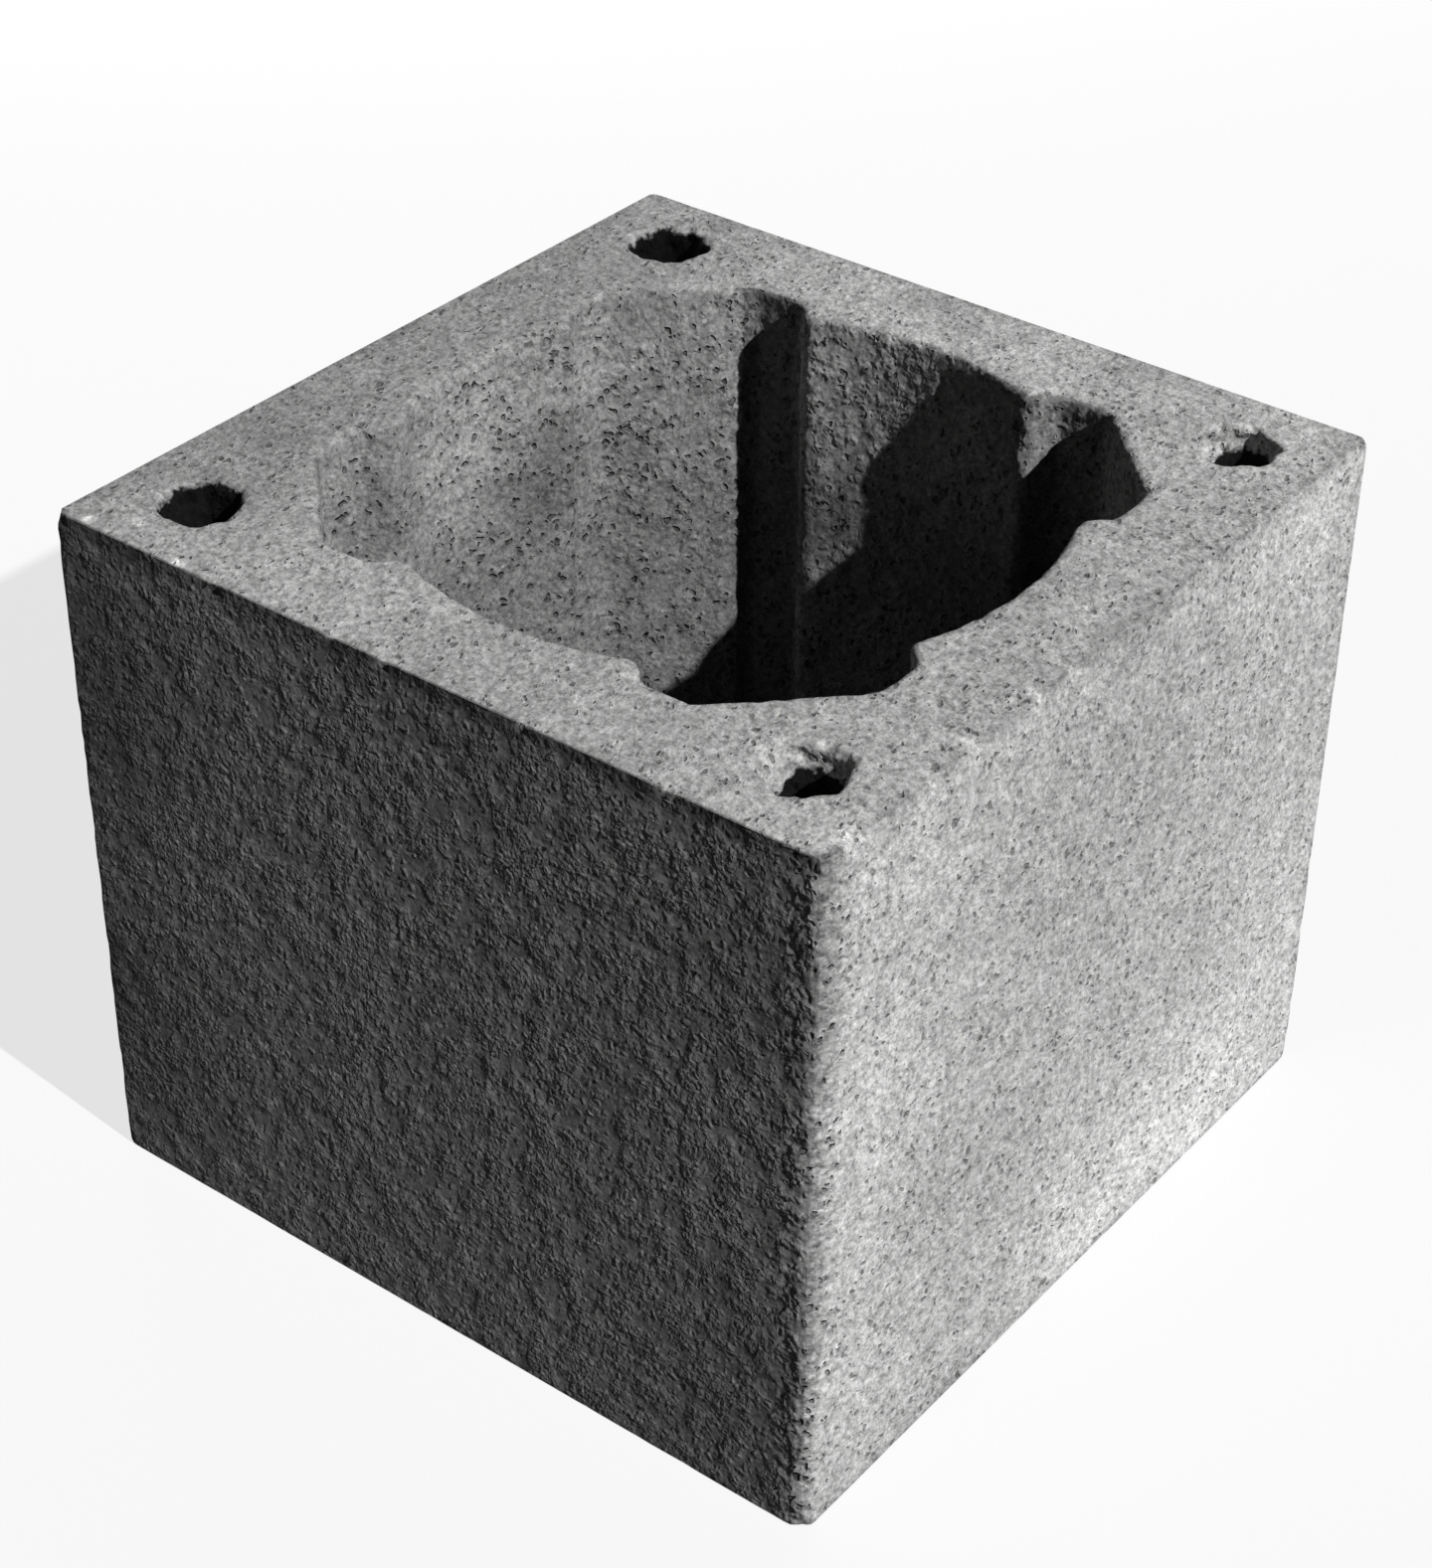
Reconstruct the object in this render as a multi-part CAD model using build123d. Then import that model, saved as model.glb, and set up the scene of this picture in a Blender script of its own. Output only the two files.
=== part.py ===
from build123d import *

import os
from math import atan2, degrees

# A chimney casing block of lightweight concrete, made round one flue. It stands on its lower bed face,
# with Z up and the origin at the middle of that face. The opening is a round flue with a ventilation
# channel along each diagonal, and a rod hole runs from bed face to bed face beside each upright corner.
# Lengths are in millimetres.

# Block
block_height = 330.0
wall_thickness = 47.5  # between the flue and an outer face, if the core stood in the middle
corner_radius = 3.0  # upright corners
arris_radius = 1.5  # edges round the bed faces

# The mould's core and rod pins stand this far off the middle, towards +Y
core_offset = 2.0

# Flue, on the upper bed face
flue_diameter = 285.0
flue_draft = 2.0  # how far the whole opening widens on each side by the foot, so that the core draws
rim_chamfer = 1.5  # edge of the opening on both bed faces

# Ventilation channels
channel_width = 102.0  # across the diagonal
channel_depth = 22.5  # from the flue's circle to the channel's back wall
channel_chamfer = 16.5  # flats beside the back wall, square to the block's faces
channel_corner_radius = 6.0
nose_radius = 4.5  # upright edge between the flue and a channel

# Rod holes
rod_hole_diameter = 30.0
rod_hole_inset = 40.0  # from the nearer outer faces, less the core's offset

# Sizes that follow
block_side = flue_diameter + 2 * wall_thickness
rod_spacing = block_side - 2 * rod_hole_inset
core_place = Pos(Y=core_offset)
upper_bed = Plane.XY.offset(block_height)


def outer_body() -> Part:
    """The plain block with its corners and arrises rounded."""
    body = Box(block_side, block_side, block_height, align=(Align.CENTER, Align.CENTER, Align.MIN))
    body = fillet(body.edges().filter_by(Axis.Z), corner_radius)
    bed_faces = body.faces().filter_by(Axis.Z)
    return fillet(bed_faces.edges(), arris_radius)


def opening_outline() -> Sketch:
    """The opening in plan: the flue's circle with a channel strip across each diagonal."""
    strip = Rectangle(flue_diameter + 2 * channel_depth, channel_width)
    strip = chamfer(strip.vertices(), channel_chamfer)
    strip = fillet(strip.vertices(), channel_corner_radius)
    outline = Circle(flue_diameter / 2) + Rot(Z=45) * strip + Rot(Z=-45) * strip
    noses = outline.vertices().group_by(SortBy.DISTANCE)[0]
    return fillet(noses, nose_radius)


def opening() -> Part:
    """The drafted passage that the core leaves, from the upper bed face to the foot."""
    draft_angle = degrees(atan2(flue_draft, block_height))
    return extrude(upper_bed * opening_outline(), amount=-block_height, taper=-draft_angle)


def rod_holes() -> Part:
    """The four straight holes for reinforcing rods."""
    hole = Cylinder(rod_hole_diameter / 2, block_height, align=(Align.CENTER, Align.CENTER, Align.MIN))
    places = GridLocations(rod_spacing, rod_spacing, 2, 2)
    return Part() + [place * hole for place in places]


def casing_block() -> Part:
    """The finished block, in one piece."""
    block = outer_body() - core_place * opening()
    bed_faces = block.faces().filter_by(Axis.Z)
    rims = [edge for bed in bed_faces for wire in bed.inner_wires() for edge in wire.edges()]
    block = chamfer(rims, rim_chamfer)
    return block - core_place * rod_holes()


os.makedirs("parts", exist_ok=True)
export_step(casing_block(), "parts/casing_block.step")
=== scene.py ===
"""Looks of a chimney casing block: crumbled arrises, ragged rod holes and open lightweight concrete."""

import logging
import math
import time
from dataclasses import dataclass, field
from enum import Enum
from functools import reduce

import bmesh
import bpy
from mathutils import Matrix, Vector


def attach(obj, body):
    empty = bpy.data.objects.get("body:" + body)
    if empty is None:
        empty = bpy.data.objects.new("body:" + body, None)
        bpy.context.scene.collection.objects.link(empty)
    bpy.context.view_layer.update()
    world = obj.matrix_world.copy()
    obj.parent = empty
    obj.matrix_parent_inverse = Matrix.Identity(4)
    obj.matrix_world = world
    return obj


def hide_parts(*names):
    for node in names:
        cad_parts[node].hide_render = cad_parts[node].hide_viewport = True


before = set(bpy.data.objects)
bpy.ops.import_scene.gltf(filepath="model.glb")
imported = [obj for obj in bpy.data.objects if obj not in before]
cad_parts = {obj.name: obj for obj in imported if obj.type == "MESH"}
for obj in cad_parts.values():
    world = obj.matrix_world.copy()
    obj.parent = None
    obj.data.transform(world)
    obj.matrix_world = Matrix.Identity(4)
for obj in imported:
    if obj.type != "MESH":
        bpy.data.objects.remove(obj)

logging.basicConfig(level=logging.INFO, format="%(message)s")
log = logging.getLogger("casing_block")

CAD_NODE = "casing_block"
CONCRETE_SLOT = "lightweight_concrete"
BODY = "root"
MM = 0.001
STARTED = time.monotonic()

Socket = bpy.types.NodeSocket


def in_metres(lengths: dict[str, float]) -> dict[str, float]:
    """Turn named lengths from millimetres into metres."""
    return {name: length * MM for name, length in lengths.items()}


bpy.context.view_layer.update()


@dataclass(frozen=True)
class PlainSizes:
    """The plain block's own sizes, in millimetres."""

    side: float = 380.0
    height: float = 330.0
    rod_spacing: float = 300.0
    rod_radius: float = 15.0
    core_offset: float = 2.0
    core_reach: float = 172.0  # the opening's walls all lie nearer to the core's axis than this


PLAIN = PlainSizes()


class Field(Enum):
    """Fields that the block's mesh carries for its concrete."""

    CORE_WALL = "core_wall"
    ARRIS = "arris"
    BREAK = "break"


class NodeKit:
    """Short ways to add nodes to a geometry or a shader tree."""

    def __init__(self, tree: bpy.types.NodeTree) -> None:
        """Keep the tree that the nodes go into.

        Args:
            tree: a geometry or shader node tree.
        """
        self.tree = tree

    def add(self, kind: str, settings: dict | None = None, inputs: dict | None = None) -> bpy.types.Node:
        """Add a node, set it and feed it.

        Args:
            kind: the node's type name.
            settings: properties to set on the node.
            inputs: socket name or number to a value or an output socket.

        Returns:
            The new node.
        """
        node = self.tree.nodes.new(kind)
        for name, value in (settings or {}).items():
            setattr(node, name, value)
        for key, value in (inputs or {}).items():
            self.feed(node.inputs[key], value)
        return node

    def feed(self, socket: Socket, value: object) -> None:
        """Link an output to a socket, or set the socket's own value.

        Args:
            socket: the input to feed.
            value: an output socket, a number, a vector or a colour.
        """
        if isinstance(value, Socket):
            self.tree.links.new(value, socket)
        else:
            socket.default_value = value

    def math(self, operation: str, *values: object, clamp: bool = False) -> Socket:
        """Add a Math node.

        Args:
            operation: the operation's name.
            values: up to three numbers or outputs.
            clamp: whether the result is held between 0 and 1.

        Returns:
            The node's output.
        """
        node = self.add("ShaderNodeMath", {"operation": operation, "use_clamp": clamp})
        for socket, value in zip(node.inputs, values):
            self.feed(socket, value)
        return node.outputs[0]

    def times(self, *values: object) -> Socket:
        """Multiply two or more numbers or outputs, in their order."""
        return reduce(lambda left, right: self.math("MULTIPLY", left, right), values)

    def plus(self, left: object, right: object) -> Socket:
        """Add two numbers or outputs."""
        return self.math("ADD", left, right)

    def minus(self, left: object, right: object) -> Socket:
        """Take the second number or output from the first."""
        return self.math("SUBTRACT", left, right)

    def stretched(self, value: object, factor: object, start: object) -> Socket:
        """Multiply a value by a factor and add a start to it."""
        return self.math("MULTIPLY_ADD", value, factor, start)

    def vector(self, operation: str, *values: object) -> Socket:
        """Add a Vector Math node.

        Args:
            operation: the operation's name.
            values: up to three vectors or outputs.

        Returns:
            The vector output, or the value output of a length, distance or dot product.
        """
        node = self.add("ShaderNodeVectorMath", {"operation": operation})
        for socket, value in zip(node.inputs, values):
            self.feed(socket, value)
        gives_value = operation in {"LENGTH", "DISTANCE", "DOT_PRODUCT"}
        return node.outputs["Value" if gives_value else "Vector"]

    def scaled(self, vector: object, factor: object) -> Socket:
        """Multiply a vector by a number.

        Args:
            vector: a vector output.
            factor: a number or a value output.

        Returns:
            The scaled vector.
        """
        node = self.add("ShaderNodeVectorMath", {"operation": "SCALE"})
        self.feed(node.inputs[0], vector)
        self.feed(node.inputs["Scale"], factor)
        return node.outputs["Vector"]

    def ramp(self, value: object, low: object, high: object, smooth: bool = True) -> Socket:
        """Map a value from a range to 0 to 1, held at the ends.

        Args:
            value: the value to map.
            low: where the result is 0.
            high: where the result is 1.
            smooth: whether the ends are eased.

        Returns:
            The mapped value.
        """
        kind = "SMOOTHSTEP" if smooth else "LINEAR"
        node = self.add("ShaderNodeMapRange", {"interpolation_type": kind, "clamp": True})
        self.feed(node.inputs["Value"], value)
        self.feed(node.inputs["From Min"], low)
        self.feed(node.inputs["From Max"], high)
        return node.outputs["Result"]

    def noise(self, vector: object, size: object, detail: float = 2.0, roughness: float = 0.5,
              offset: tuple[float, float, float] | None = None) -> Socket:
        """Add a noise whose lumps are about as wide as stated.

        Args:
            vector: the place in metres.
            size: the lumps' width in metres.
            detail: the number of finer layers.
            roughness: the strength of the finer layers.
            offset: a shift that makes this noise differ from others of its size.

        Returns:
            The noise, about 0 to 1 with its middle at 0.5.
        """
        place = self.vector("ADD", vector, offset) if offset else vector
        scale = self.math("DIVIDE", 1.0, size) if isinstance(size, Socket) else 1.0 / size
        inputs = {"Vector": place, "Scale": scale, "Detail": detail, "Roughness": roughness}
        return self.add("ShaderNodeTexNoise", inputs=inputs).outputs[0]

    def mixed(self, share: object, low: object, high: object) -> Socket:
        """Mix two values, with a share of 0 for the first and 1 for the second."""
        return self.add("ShaderNodeMix", {"data_type": "FLOAT"}, {0: share, 2: low, 3: high}).outputs[0]

    def noise_colour(self, vector: object, size: object) -> Socket:
        """Add a noise of one layer whose three channels differ, as a colour."""
        inputs = {"Vector": vector, "Scale": self.math("DIVIDE", 1.0, size), "Detail": 0.0}
        return self.add("ShaderNodeTexNoise", inputs=inputs).outputs["Color"]

    def input_socket(self, name: str, value: float | None, kind: str = "NodeSocketFloat") -> None:
        """Add an input to the tree's interface.

        Args:
            name: the input's name.
            value: its default, or None where it has none.
            kind: the socket's type.
        """
        socket = self.tree.interface.new_socket(name, in_out="INPUT", socket_type=kind)
        if value is not None:
            socket.default_value = value


CHIP_RAGGEDNESS = 4.0  # width in millimetres of the lumps that make a chip's limit ragged


@dataclass(frozen=True)
class Bite:
    """A chip broken out of an arris or a rim, in millimetres."""

    x: float
    y: float
    z: float
    reach: float
    depth: float


CHIPS = [
    Bite(-187.0, -190.0, 329.0, 4.5, 1.6),
    Bite(-104.0, -190.0, 331.0, 9.0, 1.0),
    Bite(-42.0, -190.0, 330.0, 4.5, 1.4),
    Bite(-15.0, -190.0, 330.0, 5.0, 1.2),
    Bite(53.0, -190.0, 330.0, 5.0, 1.3),
    Bite(121.0, -190.0, 330.0, 6.0, 1.2),
    Bite(190.0, -34.0, 328.0, 5.0, 1.8),
    Bite(190.0, -56.0, 330.0, 7.0, 2.6),
    Bite(190.0, -97.0, 328.0, 7.0, 2.8),
    Bite(190.0, -124.0, 328.0, 5.5, 2.2),
    Bite(190.0, -172.0, 330.0, 9.0, 2.6),
    Bite(190.0, 62.0, 330.0, 5.0, 1.2),
    Bite(138.0, 100.0, 330.0, 6.0, 2.2),
    Bite(170.0, 6.0, 330.0, 3.5, 1.8),
    Bite(183.0, 32.0, 330.0, 3.0, 1.5),
    Bite(-190.0, -96.0, 0.0, 7.0, 2.2),
    Bite(-121.0, 190.0, 0.0, 10.0, 2.8),
    Bite(-190.0, 190.0, 214.0, 9.0, 2.4),
]


class WearTree:
    """A geometry node tree over the block's skin, with the fields that its steps share."""

    def __init__(self, name: str, sizes: dict[str, float]) -> None:
        """Start a tree with named inputs.

        Args:
            name: the tree's name.
            sizes: the name of each size input and its default.
        """
        self.tree = bpy.data.node_groups.new(name, "GeometryNodeTree")
        self.kit = NodeKit(self.tree)
        self.kit.input_socket("Geometry", None, "NodeSocketGeometry")
        for size_name, value in sizes.items():
            self.kit.input_socket(size_name, value)
        self.kit.input_socket("Concrete", None, "NodeSocketMaterial")
        self.tree.interface.new_socket("Geometry", in_out="OUTPUT", socket_type="NodeSocketGeometry")
        self.given = self.kit.add("NodeGroupInput")
        self.place = self.kit.add("GeometryNodeInputPosition").outputs[0]
        self.x, self.y, self.z = self.kit.add("ShaderNodeSeparateXYZ", inputs={0: self.place}).outputs
        self.out_of_skin = self.blurred(self.kit.add("GeometryNodeInputNormal").outputs["Normal"], 6)

    def size(self, name: str) -> Socket:
        """Give the output of a named size."""
        return self.given.outputs[name]

    def blurred(self, vector: Socket, steps: int) -> Socket:
        """Average a vector over the skin.

        Args:
            vector: the vector field.
            steps: how many rounds of averaging with the neighbours.

        Returns:
            The averaged field.
        """
        settings = {"data_type": "FLOAT_VECTOR"}
        inputs = {"Value": vector, "Iterations": steps}
        return self.kit.add("GeometryNodeBlurAttribute", settings, inputs).outputs[0]

    def pull(self, steps: int) -> tuple[Socket, Socket]:
        """Find how far averaging pulls the skin inwards, which it does at arrises and rims.

        Args:
            steps: how many rounds of averaging.

        Returns:
            The pull as a vector, and its length where the skin is convex.
        """
        kit = self.kit
        toward = kit.vector("SUBTRACT", self.blurred(self.place, steps), self.place)
        inward = kit.times(kit.vector("DOT_PRODUCT", toward, self.out_of_skin), -1.0)
        return toward, kit.math("MAXIMUM", inward, 0.0)

    def combined(self, x: object, y: object, z: object) -> Socket:
        """Join three values to a vector."""
        return self.kit.add("ShaderNodeCombineXYZ", inputs={0: x, 1: y, 2: z}).outputs[0]

    def chips(self, bites: list[Bite]) -> Socket:
        """Add up how deep the chips are at each place.

        Args:
            bites: the chips.

        Returns:
            The depth in metres.
        """
        kit = self.kit
        ragged = kit.ramp(kit.noise(self.place, CHIP_RAGGEDNESS * MM), 0.2, 0.8, smooth=False)
        stretch = kit.stretched(ragged, 0.9, 0.6)
        total = None
        for bite in bites:
            centre = (bite.x * MM, bite.y * MM, bite.z * MM)
            away = kit.times(kit.vector("DISTANCE", self.place, centre), stretch)
            inside = kit.minus(1.0, kit.ramp(away, 0.35 * bite.reach * MM, bite.reach * MM))
            depth = kit.times(inside, bite.depth * MM)
            total = depth if total is None else kit.plus(total, depth)
        return total

    def rod_hole_axes(self) -> tuple[Socket, Socket, Socket]:
        """Fold the four rod holes onto one.

        Returns:
            The distance from the nearest rod hole's axis, and the unit direction away from it in X and Y.
        """
        kit = self.kit
        half_spacing = kit.times(self.size("Rod spacing"), 0.5)
        from_core_y = kit.minus(self.y, self.size("Core offset"))
        across = kit.minus(kit.math("ABSOLUTE", self.x), half_spacing)
        along = kit.minus(kit.math("ABSOLUTE", from_core_y), half_spacing)
        away = kit.vector("LENGTH", self.combined(across, along, 0.0))
        safe = kit.math("MAXIMUM", away, 0.1 * MM)
        way_x = kit.times(kit.math("DIVIDE", across, safe), kit.math("SIGN", self.x))
        way_y = kit.times(kit.math("DIVIDE", along, safe), kit.math("SIGN", from_core_y))
        return away, way_x, way_y

    def in_opening(self) -> Socket:
        """Mark the opening's walls and rims, by the distance from the core's axis.

        Returns:
            1 in the opening, 0 elsewhere.
        """
        from_core_y = self.kit.minus(self.y, self.size("Core offset"))
        from_core = self.kit.vector("LENGTH", self.combined(self.x, from_core_y, 0.0))
        return self.kit.math("LESS_THAN", from_core, self.size("Core reach"))

    def close(self, geometry: Socket) -> bpy.types.GeometryNodeTree:
        """End the tree with smooth shading, realized instances and the material.

        Args:
            geometry: the worn skin.

        Returns:
            The finished tree.
        """
        kit = self.kit
        smooth = kit.add("GeometryNodeSetShadeSmooth", inputs={"Geometry": geometry})
        real = kit.add("GeometryNodeRealizeInstances", inputs={"Geometry": smooth.outputs[0]})
        inputs = {"Geometry": real.outputs[0], "Material": self.size("Concrete")}
        dressed = kit.add("GeometryNodeSetMaterial", inputs=inputs)
        kit.add("NodeGroupOutput", inputs={0: dressed.outputs[0]})
        return self.tree


@dataclass
class CasingBlock:
    """The block's weathered skin, made from the plain solid. Sizes are in millimetres."""

    plain: PlainSizes = PLAIN
    corner_round: float = 0.3
    corner_lump: float = 24.0
    front_round_foot: float = 7.0
    front_round_top_left: float = 4.0
    front_round_top_right: float = 13.0
    front_arris_y: float = -183.0
    front_corner_x: float = 170.0
    arris_wear: float = 0.35  # a share of the averaging that wears an arris down
    wear_patch: float = 17.0
    arris_sharpening: float = 1.2
    arris_band: float = 4.5
    rim_crumble: float = 3.2
    rim_lump: float = 6.0
    rim_width: tuple[float, float] = (0.5, 5.0)
    rim_height: tuple[float, float] = (4.0, 16.0)
    rim_teeth: float = 1.5
    tooth: float = 4.8
    face_waves: float = 0.35
    face_wave: float = 18.0
    core_waves: float = 2.0
    core_wave: float = 6.5
    pit_depth: float = 0.9
    pit: float = 4.0
    rod_wall: float = 5.0
    margin: float = 0.2
    voxel: float = 1.35
    sharp_degrees: float = 38.0
    most_triangles: int = 188_000
    chips: list[Bite] = field(default_factory=lambda: list(CHIPS))

    def plain_sizes(self) -> dict[str, float]:
        """Give the plain block's sizes as a tree's inputs, in metres."""
        plain = self.plain
        return in_metres({"Side": plain.side, "Height": plain.height, "Rod spacing": plain.rod_spacing,
                          "Rod radius": plain.rod_radius, "Core offset": plain.core_offset,
                          "Core reach": plain.core_reach})

    def wear_sizes(self) -> dict[str, float]:
        """Give the inputs of the tree that rounds and chips, in metres and shares."""
        lengths = in_metres({"Corner round": self.corner_round, "Front round foot": self.front_round_foot,
                             "Front round top left": self.front_round_top_left,
                             "Front round top right": self.front_round_top_right,
                             "Rim crumble": self.rim_crumble, "Rim teeth": self.rim_teeth})
        return {**self.plain_sizes(), **lengths, "Arris wear": self.arris_wear}

    def relief_sizes(self) -> dict[str, float]:
        """Give the inputs of the tree that waves and pits, in metres."""
        lengths = in_metres({"Sharpen": self.arris_sharpening, "Face waves": self.face_waves,
                             "Core waves": self.core_waves, "Pit depth": self.pit_depth})
        return {**self.plain_sizes(), **lengths}

    def plain_copy(self) -> bpy.types.Object:
        """Copy the plain solid's mesh with its loose triangles joined.

        Returns:
            An object of its own with the joined mesh.
        """
        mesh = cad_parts[CAD_NODE].data.copy()
        work = bmesh.new()
        work.from_mesh(mesh)
        bmesh.ops.remove_doubles(work, verts=work.verts, dist=0.01 * MM)
        work.to_mesh(mesh)
        work.free()
        mesh.materials.clear()
        piece = bpy.data.objects.new("concrete_block", mesh)
        bpy.context.scene.collection.objects.link(piece)
        return piece

    def settle(self, piece: bpy.types.Object, step: str) -> None:
        """Turn the piece's modifiers into its plain mesh.

        Args:
            piece: the object whose modifiers are applied.
            step: what the modifiers did, for the log.
        """
        graph = bpy.context.evaluated_depsgraph_get()
        mesh = bpy.data.meshes.new_from_object(piece.evaluated_get(graph))
        piece.modifiers.clear()
        piece.data = mesh
        log.info("%s: %d faces after %.0f s", step, len(mesh.polygons), time.monotonic() - STARTED)

    def remesh(self, piece: bpy.types.Object) -> None:
        """Lay a fine even grid over the piece.

        Args:
            piece: the object to lay it over.
        """
        grid = piece.modifiers.new("fine_grid", "REMESH")
        grid.mode = "VOXEL"
        grid.voxel_size = self.voxel * MM
        self.settle(piece, "fine grid")

    def run_tree(self, piece: bpy.types.Object, tree: bpy.types.GeometryNodeTree, values: dict) -> None:
        """Run a geometry node tree over the piece and keep its result as the mesh.

        Args:
            piece: the object that the tree changes.
            tree: the tree.
            values: the name of each input and its value.
        """
        modifier = piece.modifiers.new(tree.name, "NODES")
        modifier.node_group = tree
        for item in tree.interface.items_tree:
            if item.item_type == "SOCKET" and item.in_out == "INPUT" and item.name in values:
                modifier[item.identifier] = values[item.name]
        self.settle(piece, tree.name)

    def rounding_tree(self) -> bpy.types.GeometryNodeTree:
        """Build the tree that rounds the upright corners, wears the arrises and breaks out the chips.

        Returns:
            The tree.
        """
        wear = WearTree("round_and_chip", self.wear_sizes())
        kit = wear.kit
        toward, convex = wear.pull(12)
        at_arris = kit.ramp(convex, 0.05 * MM, 0.4 * MM)
        patchy = kit.ramp(kit.noise(wear.place, self.wear_patch * MM, 3.0, 0.6), 0.45, 0.72)
        strength = kit.times(wear.size("Arris wear"), kit.stretched(patchy, 1.2, 0.1))
        worn = kit.scaled(toward, kit.times(strength, at_arris))
        bitten = kit.scaled(wear.out_of_skin, kit.times(self.bites(wear, at_arris), -1.0))
        chipped = kit.scaled(wear.out_of_skin, kit.times(wear.chips(self.chips), -1.0))
        broken = kit.vector("ADD", kit.vector("ADD", worn, bitten), chipped)
        shift = kit.vector("ADD", self.corner_shift(wear), self.rim_shift(wear))
        shift = kit.vector("ADD", shift, broken)
        inputs = {"Geometry": wear.given.outputs[0], "Offset": shift}
        return wear.close(kit.add("GeometryNodeSetPosition", inputs=inputs).outputs[0])

    def bites(self, wear: WearTree, at_arris: Socket) -> Socket:
        """Give the depth of the small bites, most on the opening's rims and some at the front.

        Args:
            wear: the tree that the nodes go into.
            at_arris: 1 at an arris or a rim, 0 away from it.

        Returns:
            The depth in metres.
        """
        kit = wear.kit
        teeth = kit.ramp(kit.noise(wear.place, self.tooth * MM, 3.0, 0.65, (4.0, 1.0, 2.0)), 0.47, 0.66)
        in_front = kit.math("LESS_THAN", wear.y, self.front_arris_y * MM)
        at_corner = kit.times(in_front, kit.math("GREATER_THAN", wear.x, self.front_corner_x * MM))
        at_front = kit.plus(kit.times(in_front, 0.15), kit.times(at_corner, 0.6))
        share = kit.plus(kit.math("MAXIMUM", wear.in_opening(), at_front), 0.05)
        bitten = kit.times(teeth, at_arris, wear.size("Rim teeth"))
        return kit.times(bitten, share)

    def corner_shift(self, wear: WearTree) -> Socket:
        """Round the upright corners: a square corner is drawn in to an arc, widest at the worn front one.

        Args:
            wear: the tree that the nodes go into.

        Returns:
            The shift as a vector.
        """
        kit = wear.kit
        half = kit.times(wear.size("Side"), 0.5)
        up = kit.math("DIVIDE", wear.z, wear.size("Height"), clamp=True)
        in_front = kit.times(kit.math("GREATER_THAN", wear.x, 0.0),
                            kit.math("LESS_THAN", wear.y, 0.0))
        uneven = kit.stretched(kit.noise(wear.place, self.corner_lump * MM), 0.8, 0.6)

        def reach(top_name: str) -> Socket:
            """Give the arc's reach along one face, from the name of its reach at the top."""
            rise = kit.minus(wear.size(top_name), wear.size("Front round foot"))
            front = kit.plus(wear.size("Front round foot"), kit.times(rise, up))
            more = kit.times(kit.minus(front, wear.size("Corner round")), in_front)
            return kit.times(kit.plus(wear.size("Corner round"), more), uneven)

        def share(value: Socket, width: Socket) -> Socket:
            """Give how far into the arc's reach a place is, 0 before it and 1 at the face."""
            start = kit.minus(half, width)
            past = kit.minus(kit.math("ABSOLUTE", value), start)
            return kit.math("MAXIMUM", kit.math("DIVIDE", past, width), 0.0)

        reach_x, reach_y = reach("Front round top left"), reach("Front round top right")
        share_x, share_y = share(wear.x, reach_x), share(wear.y, reach_y)
        length = kit.math("MAXIMUM", kit.vector("LENGTH", wear.combined(share_x, share_y, 0.0)), 1e-5)
        kept = kit.math("DIVIDE", kit.math("MAXIMUM", share_x, share_y), length)
        lost = kit.minus(kept, 1.0)

        def drawn_in(value: Socket, part: Socket, width: Socket) -> Socket:
            """Give the shift along one axis that brings a place onto the arc."""
            return kit.times(part, width, lost, kit.math("SIGN", value))

        return wear.combined(drawn_in(wear.x, share_x, reach_x), drawn_in(wear.y, share_y, reach_y), 0.0)

    def rim_shift(self, wear: WearTree) -> Socket:
        """Crumble the rims of the rod holes on both bed faces.

        Args:
            wear: the tree that the nodes go into.

        Returns:
            The shift as a vector.
        """
        kit = wear.kit
        away, way_x, way_y = wear.rod_hole_axes()
        below = kit.math("MINIMUM", kit.minus(wear.size("Height"), wear.z), wear.z)
        past_rim = kit.minus(away, wear.size("Rod radius"))
        near_hole = kit.minus(1.0, kit.ramp(past_rim, *(reach * MM for reach in self.rim_width)))
        near_bed = kit.minus(1.0, kit.ramp(below, *(reach * MM for reach in self.rim_height)))
        lumps = kit.ramp(kit.noise(wear.place, self.rim_lump * MM, 3.0, 0.6), 0.38, 0.6)
        crumbled = kit.times(lumps, wear.size("Rim crumble"))
        amount = kit.times(near_hole, near_bed, crumbled)
        upper = kit.math("GREATER_THAN", wear.z, kit.times(wear.size("Height"), 0.5))
        into_bed = kit.stretched(upper, -0.8, 0.4)
        return kit.scaled(wear.combined(way_x, way_y, into_bed), amount)

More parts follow.
